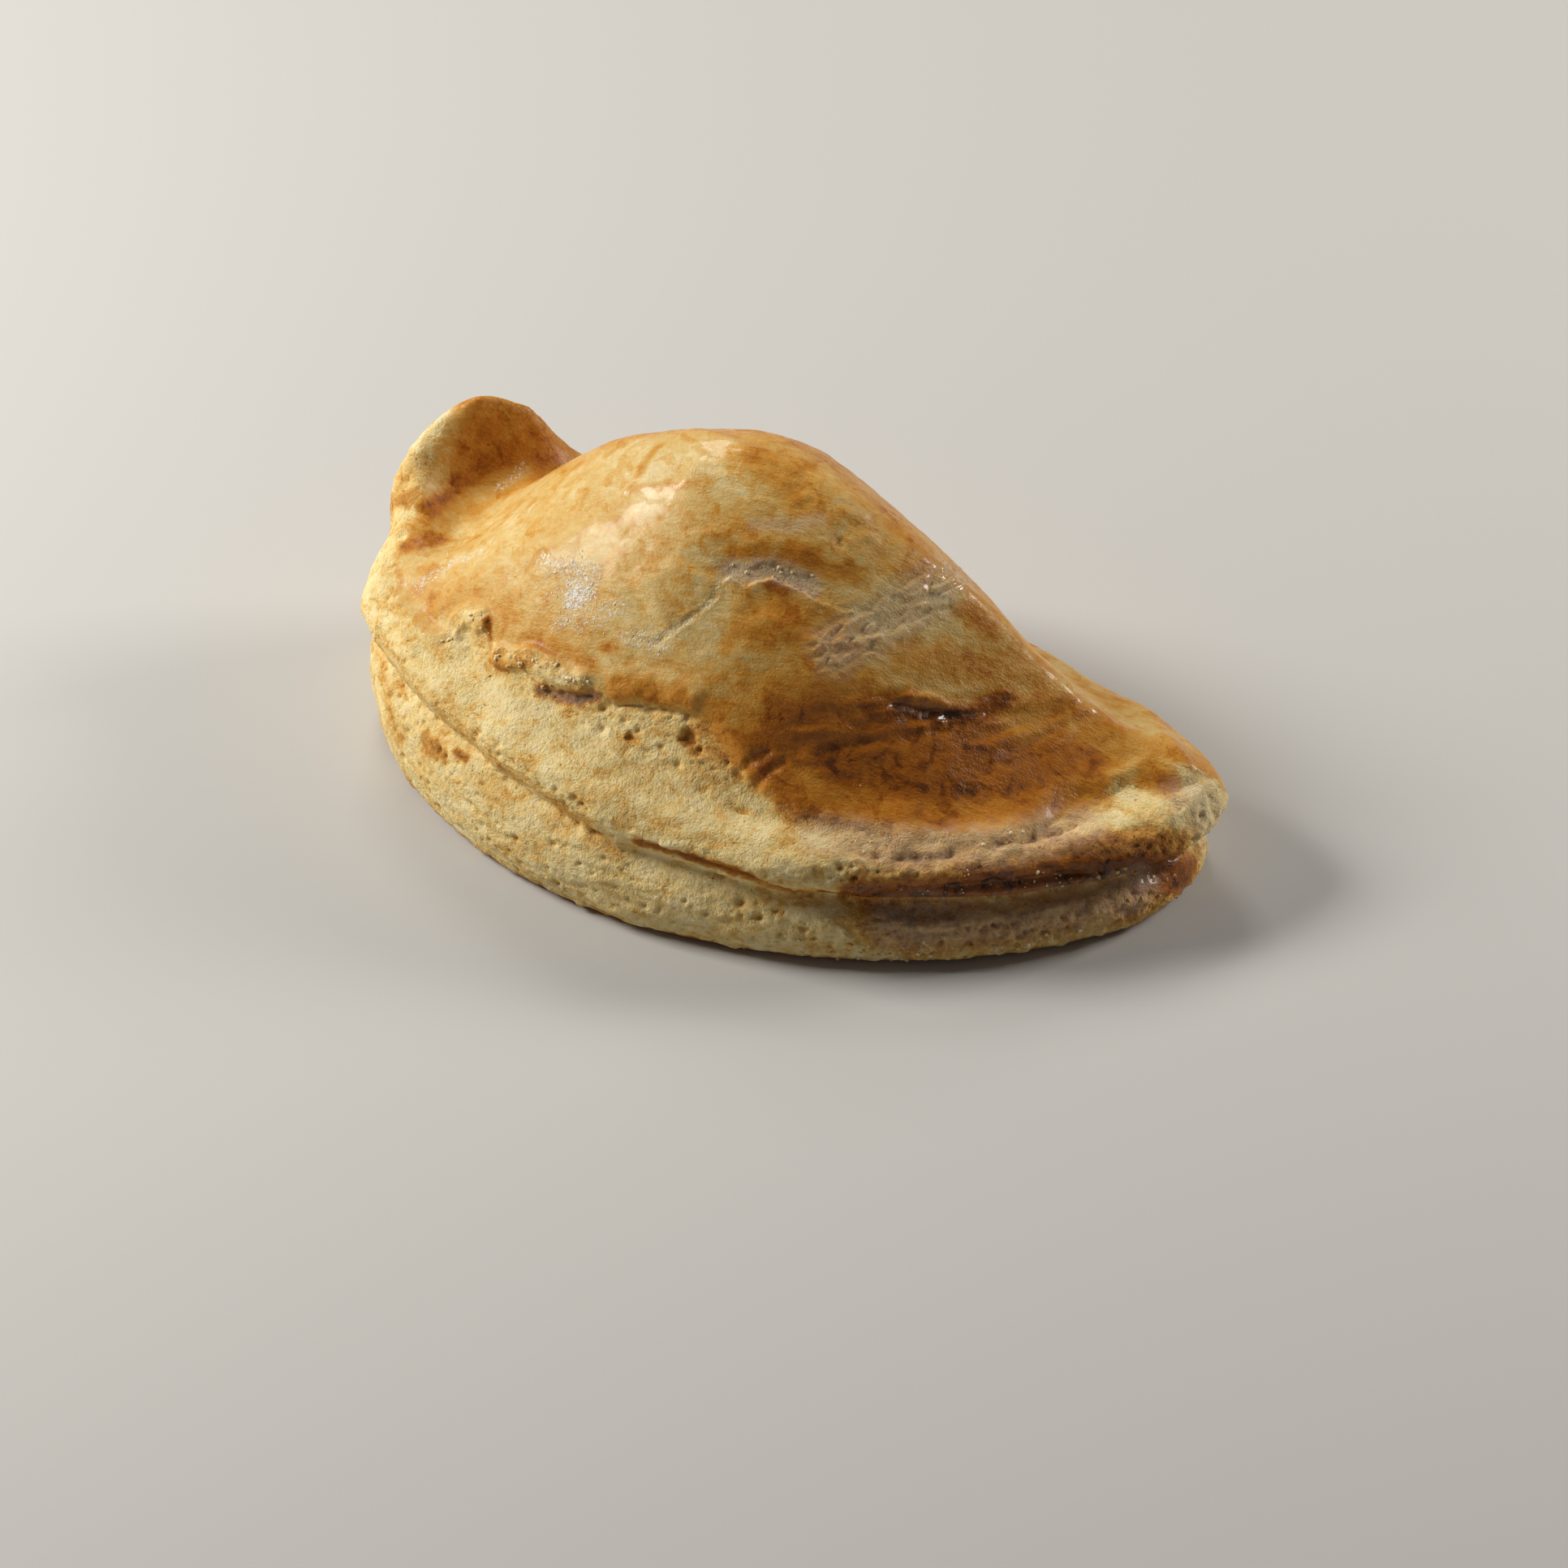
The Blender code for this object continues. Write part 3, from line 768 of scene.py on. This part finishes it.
# Greyish stretched dough, and grey painted shade on the shaded right and lower right of the cut side.
ASH_AND_SHADE_DABS = (
    Dab(0.46, 4.2, WRINKLES),
    Dab(0.35, 1.3, ((930, 645), (975, 648), (1010, 640))),
    Dab(0.75, 1.8, CREVICE_FLOOR),
    # Greyer in the cavity under the crumbly ridge, partly painted shade.
    Dab(0.30, 1.0, CAVITY),
    # Painted shade: greyer crumb on the right of the cut side, where it lies in shade.
    Dab(0.46, 3.6, ((1010, 1032), (1120, 1048), (1240, 1040), (1340, 1015))),
    Dab(0.45, 5.0, ((1470, 985), (1495, 1010), (1490, 1040))),
    # Painted shade: greyer crumb low on the right of the cut side.
    Dab(0.50, 4.0, ((1100, 1140), (1250, 1132), (1400, 1098))),
)
# Flour, and white specks on the wrinkles that are partly painted glints.
FLOUR_AND_GLINT_DABS = (
    # White specks on the wrinkles: partly flour, partly painted glints.
    Dab(0.22, 4.0, WRINKLES),
    Dab(0.42, 5.0, ((1475, 985), (1500, 1010), (1490, 1045))),
    Dab(0.74, 2.8, ((706, 738), (716, 728))),
    Dab(0.55, 2.4, ((672, 690), (700, 700), (735, 705))),
    Dab(0.50, 1.8, ((684, 768), (730, 765), (764, 745))),
    Dab(0.48, 1.6, ((618, 598), (644, 577))),
    Dab(0.50, 1.5, SCRATCH),
    Dab(0.50, 1.8, ((770, 785), (800, 792), (815, 800))),
    Dab(0.42, 1.4, CRACK_LINE),
    Dab(0.34, 1.4, ((655, 808), (680, 822), (712, 838))),
)
DABS = {
    Paint.BAKE: BAKE_AND_PAINTED_LIGHT_DABS,
    Paint.GLAZE: GLAZE_DABS,
    Paint.CRUMB: CRUMB_DABS,
    Paint.ASH_AND_SHADE: ASH_AND_SHADE_DABS,
    Paint.FLOUR: FLOUR_AND_GLINT_DABS,
}


@dataclass(frozen=True)
class Groove:
    """A line pressed into the crust, or raised from it where the depth is below 0."""

    depth: float
    reach: float
    marks: tuple
    taper: float = 0.15
    wander: float = 0.35

    def relief(self, land: Skinscape, rough: np.ndarray) -> np.ndarray:
        """How far it moves each point out; rough makes its sides uneven."""
        far, along = land.beside(self.marks)
        depth = self.depth * tapered(along, self.taper, self.taper)
        return -depth * bell(far + self.wander * rough, self.reach)


GROOVES = (
    Groove(0.16, 0.40, CRACK_LINE),
    Groove(-0.5, 4.5, ((868, 700), (845, 735), (805, 768))),
    Groove(0.7, 0.6, ORANGE_SEAM),
    Groove(1.3, 1.3, DARK_SEAM),
    Groove(0.35, 0.9, CREASE),
    Groove(0.30, 0.7, ((1105, 884), (1150, 892), (1195, 895))),
    Groove(-0.35, 0.6, ((1110, 858), (1150, 860), (1172, 870))),
    Groove(0.25, 0.5, ((1000, 930), (1060, 915), (1120, 905), (1180, 895))),
    Groove(0.45, 0.7, ((905, 962), (925, 938), (955, 920))),
    Groove(0.40, 0.7, ((925, 978), (945, 952), (975, 935))),
    Groove(-0.28, 0.6, ((1362, 978), (1368, 960), (1385, 950), (1408, 940), (1422, 920))),
    Groove(0.8, 0.45, ((895, 988), (910, 996), (925, 1002))),
    Groove(0.7, 0.45, ((1222, 1042), (1260, 1036), (1300, 1026), (1356, 1004))),
    Groove(0.4, 0.4, ((1040, 1050), (1100, 1058), (1160, 1056))),
    Groove(0.14, 0.5, SCRATCH),
    Groove(0.6, 0.5, ((487, 826), (495, 848), (503, 868))),
    Groove(0.55, 1.0, CAVITY),
    Groove(0.6, 0.5, UNDER_LIP),
    Groove(-0.22, 0.6, ((973, 621), (1000, 610))),
    Groove(-0.18, 0.5, ((1060, 664), (1075, 661), (1093, 683))),
    Groove(0.3, 0.5, ((602, 762), (605, 792))),
)


@dataclass(frozen=True)
class Ridge:
    """A raised, crumbly line: its height, its half width, and how lumpy it is."""

    height: float
    reach: float
    lumpy: float
    marks: tuple
    taper: float = 0.12
    wander: float = 0.2
    flat_top: float = 0.4

    def relief(self, land: Skinscape, rough: np.ndarray) -> np.ndarray:
        """How far it moves each point out; rough makes its sides uneven."""
        far, along = land.beside(self.marks)
        height = self.height * tapered(along, self.taper, self.taper)
        lumps = 1 + self.lumpy * noisy(land.points, RIDGE_LUMPS)
        side = smooth(far + self.wander * rough, self.flat_top * self.reach, self.reach)
        return height * lumps * (1 - side)


RIDGES = (
    Ridge(0.7, 2.2, 0.10, UPRIGHT_FLAKE),
    Ridge(0.8, 2.2, 0.35, CRUMBLY_RIDGE),
    Ridge(0.45, 3.0, 0.4, ROLLED_LIP),
)


@dataclass(frozen=True)
class Pit:
    """A hole in the crumb: its depth, its radius and where it is."""

    depth: float
    radius: float
    mark: tuple
    wander: float = 0.6
    wall: float = 0.7

    def relief(self, land: Skinscape, rough: np.ndarray) -> np.ndarray:
        """How far it moves each point out; rough makes its rim uneven."""
        far, _ = land.beside((self.mark,))
        return -self.depth * smooth(self.radius - far + self.wander * rough, 0, self.wall)


PITS = (
    Pit(0.5, 1.0, (778, 910)),
    Pit(0.8, 1.6, (848, 910)),
    Pit(0.6, 0.9, (862, 924)),
    Pit(0.8, 0.4, (487, 828)),
    Pit(0.40, 0.9, (1035, 666)),
)


@dataclass(frozen=True)
class Wrinkle:
    """Fine wrinkles along a line, drawn out the way that the dough stretched, which is the line's."""

    depth: float
    size: float
    reach: float
    marks: tuple
    drawn: float = 0.84

    def relief(self, land: Skinscape) -> np.ndarray:
        """How far they move each point out."""
        line = land.line(self.marks)
        way = line[-1] - line[0]
        way /= np.linalg.norm(way)
        drawn = land.points - np.outer(land.points @ way, way) * self.drawn
        drawn = drawn + noisy(land.points, WRINKLE_WARP)[:, None]
        far, _ = land.beside(self.marks)
        folds = noisy(drawn, (Lumps(self.size, 1.0, 12), Lumps(self.size / 2, 0.5, 15)))
        return self.depth * bell(far, self.reach) * folds


WRINKLED = (
    Wrinkle(0.42, 0.8, 4.0, WRINKLES),
    Wrinkle(0.20, 0.9, 5.0, DOME_FOLDS),
    Wrinkle(0.34, 1.5, 4.5, TIP_FOLDS),
    Wrinkle(0.36, 1.5, 4.5, GLAZE_FOLDS),
    Wrinkle(0.34, 0.8, 2.5, CREASE),
)


@dataclass(frozen=True)
class Crevice:
    """A plate of crust lifted over an open crevice: the hollow above its lip, and the raised lip."""

    depth: float = 0.28
    uneven: float = 0.12
    width: float = 2.7
    wander: float = 0.5
    wall: float = 1.2
    lift: float = 0.5
    lift_reach: float = 2.0
    tapers: tuple = (0.1, 0.25)
    marks: tuple = CREVICE_LIP

    def relief(self, land: Skinscape, rough: np.ndarray) -> np.ndarray:
        """How far it moves each point out; rough makes the hollow uneven."""
        far, along = land.beside(self.marks)
        side = land.below(self.marks)
        depth = (self.depth + self.uneven * rough) * (side < 0)
        hollow = depth * smooth(self.width - far - self.wander * rough, 0, self.wall)
        lifted = self.lift * bell(far, self.lift_reach) * (side > 0)
        return tapered(along, *self.tapers) * (lifted - hollow)


@dataclass(frozen=True)
class Baking:
    """How brown the crust is before any dabs, from 0 for raw dough to 1 for burnt."""

    skin: float = 0.17
    crumb_paler: float = 0.05
    uneven: float = 0.05
    foot: float = 0.22
    foot_height: float = 2.6
    foot_rise: float = 2.2
    turned_back: tuple = (0.1, 0.5)
    back: float = 0.13
    back_top: float = 0.12
    back_rise: tuple = (15, 45)
    base: float = 0.42
    base_uneven: float = 0.12
    base_rim: float = 0.14
    rim_from: float = 0.75

    def shade(self, land: Skinscape, crumb: np.ndarray, broad: np.ndarray) -> np.ndarray:
        """How brown each point is, from its place, how bare it is and the broad noise."""
        height = land.points[:, 2]
        bake = self.skin - self.crumb_paler * crumb + self.uneven * broad
        bake += self.foot * smooth(self.foot_height - height, 0, self.foot_rise) * (1 - land.under)
        behind = smooth(land.normals[:, 1], *self.turned_back)
        bake += behind * (self.back + self.back_top * smooth(height, *self.back_rise))
        rim = np.hypot(*(land.points[:, :2] / np.abs(land.points[:, :2]).max(axis=0)).T)
        base = self.base + self.base_uneven * broad + self.base_rim * smooth(rim, self.rim_from, 1)
        return np.where(land.under > 0.5, base, bake)


@dataclass
class Crust:
    """The pastry's whole surface as one closed mesh, finest where it shows most."""

    # The even mesh, and where it is split finer.
    voxel: float = 0.68
    easing: int = 10
    fine_band: float = 1.6
    wrinkled_band: float = 4.0
    side_facing: float = 0.25
    side_upturned: float = 0.75
    side_height: float = 26.0
    side_depth: float = 6.0
    # What is painted all over.
    thin_glaze: float = 0.10
    uneven_glaze: float = 0.06
    thin_flour: float = 0.06
    sealed_base: float = 0.85
    # Layers and grain of the bare dough, coarser towards the tip.
    layer_turn: float = 9.0
    layer_thickness: float = 0.8
    layer_height: float = 0.18
    grain_height: float = 0.11
    coarser: float = 2.6
    coarse_run: tuple = (0, 36)
    # The beaded foot, the step at the torn edge and the flat base.
    foot_height: float = 2.6
    foot_rise: float = 1.6
    step_wall: tuple = (-0.25, 0.35)
    step_run: tuple = (-0.25, 6.0)
    base_flatness: float = 0.9
    # How deep a dent is where the crumb takes its full painted shade.
    hollow_depth: float = 1.2
    # Pores.
    pores: int = 420
    bare_enough: float = 0.6
    unpitted: float = 3.5
    smallest_pore: float = 0.28
    pore_spread: float = 0.45
    pore_depth: float = 0.9
    pore_steepness: float = 1.5
    pore_reach: float = 1.6
    seed: int = 7
    past: np.ndarray = field(default=None, init=False)
    painted: dict = field(default_factory=dict, init=False)

    def even_copy(self) -> bpy.types.Mesh:
        """A smooth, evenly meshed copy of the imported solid."""
        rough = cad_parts[NODE].data.copy()
        bm = bmesh.new()
        bm.from_mesh(rough)
        bmesh.ops.remove_doubles(bm, verts=bm.verts, dist=WELD)
        bm.to_mesh(rough)
        bm.free()
        thing = add("fine", rough)
        soft = thing.modifiers.new("Rounder facets", "SUBSURF")
        soft.levels = soft.render_levels = 1
        even = thing.modifiers.new("Even mesh", "REMESH")
        even.mode = "VOXEL"
        even.voxel_size = self.voxel * MM
        eased = thing.modifiers.new("Eased", "SMOOTH")
        eased.factor = 0.5
        eased.iterations = self.easing
        graph = bpy.context.evaluated_depsgraph_get()
        fine = bpy.data.meshes.new_from_object(thing.evaluated_get(graph))
        bpy.data.objects.remove(thing)
        return fine

    def refine(self, mesh: bpy.types.Mesh, land: Skinscape) -> None:
        """Evens out packed relief, and splits the faces along the marks and on the front of the cut side."""
        near = land.beside(WRINKLES)[0] < self.wrinkled_band
        for line in FINE_MARKS:
            near |= land.beside(line)[0] < self.fine_band
        near |= self._front_side(land)
        bm = bmesh.new()
        bm.from_mesh(mesh)
        bm.verts.ensure_lookup_table()
        for line, reach, rounds in EVENED:
            close = [bm.verts[number] for number in np.flatnonzero(land.beside(line)[0] < reach)]
            for _ in range(rounds):
                bmesh.ops.smooth_vert(
                    bm, verts=close, factor=0.5, use_axis_x=True, use_axis_y=True, use_axis_z=True
                )
        edges = [edge for edge in bm.edges if near[edge.verts[0].index] and near[edge.verts[1].index]]
        bmesh.ops.subdivide_edges(bm, edges=edges, cuts=1, use_grid_fill=True)
        bmesh.ops.triangulate(bm, faces=[face for face in bm.faces if len(face.verts) > 4])
        bm.to_mesh(mesh)
        bm.free()

    def _front_side(self, land: Skinscape) -> np.ndarray:
        """True on the cut side where it faces the camera."""
        facing = land.normals @ VIEW.axes[2] > self.side_facing
        steep = land.normals[:, 2] < self.side_upturned
        low = land.points[:, 2] < self.side_height
        return facing & steep & low & (land.points[:, 1] < self.side_depth)

    def paint(self, land: Skinscape) -> None:
        """Works out the attributes of each point."""
        outline = np.vstack([land.line(TEAR)[:, :2], np.array(TEAR_BEHIND)])
        far, along = land.beside(TEAR)
        ragged = noisy(land.points, RAGGED_EDGE)
        self.past = np.where(land.inside(outline), -far, far) + ragged
        softness = np.interp(along, *zip(*TEAR_SOFTNESS))
        crumb = np.clip(0.5 + 0.5 * self.past / softness, 0, 1)
        broad = noisy(land.points, BROAD_SHADES)
        values = {
            Paint.BAKE: Baking().shade(land, crumb, broad),
            Paint.GLAZE: self.thin_glaze + self.uneven_glaze * broad,
            Paint.CRUMB: crumb * (1 - self.sealed_base * land.under),
            Paint.FLOUR: self.thin_flour * np.clip(broad, 0, 1),
            Paint.ASH_AND_SHADE: np.zeros(len(broad)),
        }
        for paint, dabs in DABS.items():
            for dab in dabs:
                values[paint] = values[paint] + (dab.value - values[paint]) * dab.share(land, ragged)
        self.painted = {paint.value: np.clip(value, 0, 1) for paint, value in values.items()}

    def shape(self, land: Skinscape) -> np.ndarray:
        """How far each point moves out along its normal, in millimetres."""
        points = land.points
        crumb = self.painted["crumb"]
        turn = np.arctan2(points[:, 1], points[:, 0])
        banded = np.column_stack([turn * self.layer_turn, points[:, 2] / self.layer_thickness, turn * 0])
        layers = noisy(banded, DOUGH_LAYERS) + noisy(banded * (2, 2, 1), FINE_LAYERS)
        rough = noisy(points, CRUMB_GRAIN)
        coarse = 1 + self.coarser * smooth(points[:, 0], *self.coarse_run)
        height = crumb * (self.layer_height * layers + self.grain_height * coarse * rough)
        height += (1 - crumb) * noisy(points, SKIN_GRAIN)
        foot = smooth(self.foot_height - points[:, 2], 0, self.foot_rise)
        height += foot * noisy(points, FOOT_BEADS) * (1 - land.under)
        height += self._torn_skin(land) - self._pores(land)
        for wrinkle in WRINKLED:
            height += wrinkle.relief(land)
        for mark in (Crevice(), *GROOVES, *RIDGES, *PITS):
            height += mark.relief(land, rough)
        height = height * (1 - self.base_flatness * land.under)
        # How deep each point lies in a dent, for the material's painted shade.
        self.painted["hollow"] = np.clip(-height / self.hollow_depth, 0, 1)
        return height

    def _torn_skin(self, land: Skinscape) -> np.ndarray:
        """The step of the skin at its torn edge, easing off further in."""
        _, along = land.beside(TEAR)
        step = np.interp(along, *zip(*TEAR_STEP))
        return step * (smooth(-self.past, *self.step_wall) - smooth(-self.past, *self.step_run))

    def _pores(self, land: Skinscape) -> np.ndarray:
        """Small round pores scattered over the bare dough, as depths."""
        rng = np.random.default_rng(self.seed)
        flaky = np.minimum(land.beside(UPRIGHT_FLAKE)[0], land.beside(CRUMBLY_RIDGE)[0]) < self.unpitted
        bare = np.flatnonzero((self.painted["crumb"] > self.bare_enough) & ~flaky)
        sown = rng.choice(bare, self.pores, replace=False)
        tree = kdtree.KDTree(len(land.points))
        for number, point in enumerate(land.points):
            tree.insert(point, number)
        tree.balance()
        depth = np.zeros(len(land.points))
        for number in sown:
            radius = self.smallest_pore + self.pore_spread * rng.random() ** 3
            for _, other, far in tree.find_range(land.points[number], radius * self.pore_reach):
                fall = math.exp(-((far / radius) ** 2) * self.pore_steepness)
                depth[other] = max(depth[other], radius * self.pore_depth * fall)
        return depth

    def build(self) -> Skinscape:
        """Makes the crust.

        Returns:
            Its surface, for other pieces to lie on.
        """
        mesh = self.even_copy()
        mesh.name = "crust_surface"
        self.refine(mesh, Skinscape(mesh))
        land = Skinscape(mesh)
        self.paint(land)
        moved = land.points + land.normals * self.shape(land)[:, None]
        moved[:, 2] = np.maximum(moved[:, 2], 0)
        mesh.vertices.foreach_set("co", (moved * MM).ravel())
        for name, values in self.painted.items():
            layer = mesh.attributes.new(name, "FLOAT", "POINT")
            layer.data.foreach_set("value", values.astype(np.float32))
        mesh.update()
        mesh.shade_smooth()
        mesh.materials.clear()
        mesh.materials.append(CrustFinish().build())
        thing = add("crust_surface", mesh)
        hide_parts(NODE)
        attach(thing, BODY)
        log.info("crust: %d triangles", sum(len(face.vertices) - 2 for face in mesh.polygons))
        return Skinscape(mesh)


@dataclass(frozen=True)
class Cluster:
    """Where some bits lie: a line of pixels, how many there are, and how far they stray in millimetres."""

    marks: tuple
    count: int
    stray: float


@dataclass
class Bits:
    """Many small grains of one kind, joined in one piece."""

    name: str
    finish: BitFinish
    smallest: float
    largest: float
    seed: int
    detail: int = 1
    knobbly: float = 0.15
    narrowest: float = 0.7
    width_spread: float = 0.6
    widest_turn: float = 6.3
    sunk: float = 0.2

    def scatter(self, land: Skinscape, clusters: tuple) -> None:
        """Lays grains on the crust.

        Args:
            land: the surface that they lie on.
            clusters: where they lie.
        """
        rng = np.random.default_rng(self.seed)
        bm = bmesh.new()
        for cluster in clusters:
            line = np.array(cluster.marks, float)
            for _ in range(cluster.count):
                along = rng.random() * (len(line) - 1)
                first = min(int(along), max(len(line) - 2, 0))
                last = min(first + 1, len(line) - 1)
                pixel = line[first] + (line[last] - line[first]) * (along - first)
                pixel = pixel + rng.normal(0, cluster.stray * PIXELS_PER_MM, 2)
                place, normal = land.cast(tuple(pixel))
                self._grain(bm, rng, place, normal)
        mesh = bpy.data.meshes.new(self.name)
        bm.to_mesh(mesh)
        bm.free()
        mesh.shade_smooth()
        mesh.materials.append(self.finish.build())
        thing = add(self.name, mesh)
        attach(thing, BODY)
        log.info("%s: %d triangles", self.name, len(mesh.polygons))

    def _grain(
        self, bm: bmesh.types.BMesh, rng: np.random.Generator, place: np.ndarray, normal: np.ndarray
    ) -> None:
        """Adds one grain, squashed, knobbly and partly sunk in, at a place in millimetres."""
        radius = self.smallest + (self.largest - self.smallest) * rng.random() ** 2
        made = bmesh.ops.create_icosphere(bm, subdivisions=self.detail, radius=radius)
        for vertex in made["verts"]:
            vertex.co *= 1 + self.knobbly * rng.normal()
        sizes = Matrix.Diagonal(Vector((*(self.narrowest + self.width_spread * rng.random(3)), 1)))
        turned = Matrix.Rotation(rng.random() * self.widest_turn, 4, Vector(rng.normal(size=3)))
        spot = Matrix.Translation(Vector((place - normal * radius * self.sunk) * MM))
        whole = spot @ Matrix.Scale(MM, 4) @ turned @ sizes
        bmesh.ops.transform(bm, matrix=whole, verts=made["verts"])
        for vertex in made["verts"]:
            vertex.co.z = max(vertex.co.z, 0)


@dataclass(frozen=True)
class Lamp:
    """A soft square light turned to the pastry: its place and width in metres, and its watts."""

    name: str
    place: tuple
    power: float
    width: float
    colour: tuple

    def set_up(self) -> None:
        """Adds the light to the scene."""
        light = bpy.data.lights.new(self.name, "AREA")
        light.energy = self.power
        light.size = self.width
        light.color = self.colour
        thing = add(self.name, light)
        thing.location = self.place
        thing.rotation_mode = "QUATERNION"
        thing.rotation_quaternion = Vector(self.place).to_track_quat("Z", "Y")


LAMPS = (
    Lamp("key", (-0.53, -0.05, 0.40), 4.7, 0.22, (1.0, 0.97, 0.92)),
    Lamp("rim", (0.46, 0.34, 0.30), 2.3, 0.18, (1.0, 0.96, 0.90)),
    Lamp("back", (-0.25, 0.45, 0.48), 1.1, 0.20, (1.0, 0.98, 0.95)),
    Lamp("fill", (0.45, -0.60, 0.45), 0.12, 0.6, (1.0, 0.98, 0.96)),
)


@dataclass
class Studio:
    """The floor, the lights and the camera."""

    floor_size: float = 3.0
    floor_colour: tuple = (0.53, 0.52, 0.50, 1.0)
    floor_roughness: float = 0.9
    air_colour: tuple = (1.0, 0.98, 0.95, 1.0)
    air_strength: float = 0.06

    def build(self) -> None:
        """Sets the studio up."""
        bm = bmesh.new()
        bmesh.ops.create_grid(bm, x_segments=1, y_segments=1, size=self.floor_size / 2)
        mesh = bpy.data.meshes.new("floor")
        bm.to_mesh(mesh)
        bm.free()
        mix = Recipe("Studio floor")
        mesh.materials.append(mix.finish(Base_Color=self.floor_colour, Roughness=self.floor_roughness))
        floor = add("floor", mesh)
        for lamp in LAMPS:
            lamp.set_up()
        world = bpy.data.worlds.new("Studio")
        bpy.context.scene.world = world
        world.use_nodes = True
        air = world.node_tree.nodes["Background"]
        air.inputs["Color"].default_value = self.air_colour
        air.inputs["Strength"].default_value = self.air_strength
        bpy.context.scene.view_settings.view_transform = "Standard"
        VIEW.set_up()


PALE_CRUMB = BitFinish("Pale crumbs", (0.66, 0.47, 0.20), (0.84, 0.74, 0.52))
BROWN_CRUMB = BitFinish("Browned crumbs", (0.52, 0.26, 0.07), (0.72, 0.46, 0.16))
FLOUR = BitFinish("Flour grains", (0.80, 0.74, 0.64), (0.90, 0.88, 0.82))
FLOUR_CLUSTERS = (
    Cluster(((712, 705), (705, 745)), 420, 2.2),
    Cluster(((668, 690), (735, 705)), 110, 1.4),
    Cluster(((690, 768), (764, 745)), 70, 1.2),
    Cluster(SCRATCH, 60, 0.9),
    Cluster(((770, 785), (815, 800)), 50, 1.0),
    Cluster(((1010, 1095), (1150, 1098), (1300, 1085), (1460, 1070)), 70, 0.6),
)
PALE_CLUSTERS = (
    Cluster(((1060, 968),), 1, 0.0),
    Cluster(((1137, 1166),), 5, 0.4),
    Cluster(UPRIGHT_FLAKE, 12, 0.4),
    Cluster(CRUMBLY_RIDGE, 45, 0.5),
    Cluster(CREVICE_FLOOR, 12, 0.5),
    Cluster(((1270, 1085), (1330, 1080)), 14, 0.8),
    Cluster(((1050, 1030), (1200, 1042), (1340, 1012)), 12, 1.4),
    Cluster(((900, 1160), (1050, 1175), (1200, 1175), (1330, 1150)), 60, 0.8),
)
BROWN_CLUSTERS = (
    Cluster(((1193, 1075),), 4, 0.3),
    Cluster(((1020, 1172), (1120, 1178), (1240, 1170)), 50, 0.7),
    Cluster(((1380, 1120), (1450, 1100)), 14, 0.6),
    Cluster(((600, 812), (660, 832), (710, 850)), 16, 0.8),
    Cluster(((1330, 1076), (1400, 1076), (1450, 1080)), 14, 0.4),
)


def dress() -> None:
    """Builds the studio and every piece in order."""
    logging.basicConfig(level=logging.INFO, format="%(message)s")
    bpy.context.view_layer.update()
    Studio().build()
    land = Crust().build()
    flour = Bits("flour_grains", FLOUR, smallest=0.05, largest=0.15, seed=3)
    flour.scatter(land, FLOUR_CLUSTERS)
    pale = Bits("pale_crumbs", PALE_CRUMB, smallest=0.10, largest=0.38, seed=4, detail=2)
    pale.scatter(land, PALE_CLUSTERS)
    browned = Bits("browned_crumbs", BROWN_CRUMB, smallest=0.10, largest=0.38, seed=5, detail=2)
    browned.scatter(land, BROWN_CLUSTERS)


if __name__ == "__main__":
    dress()
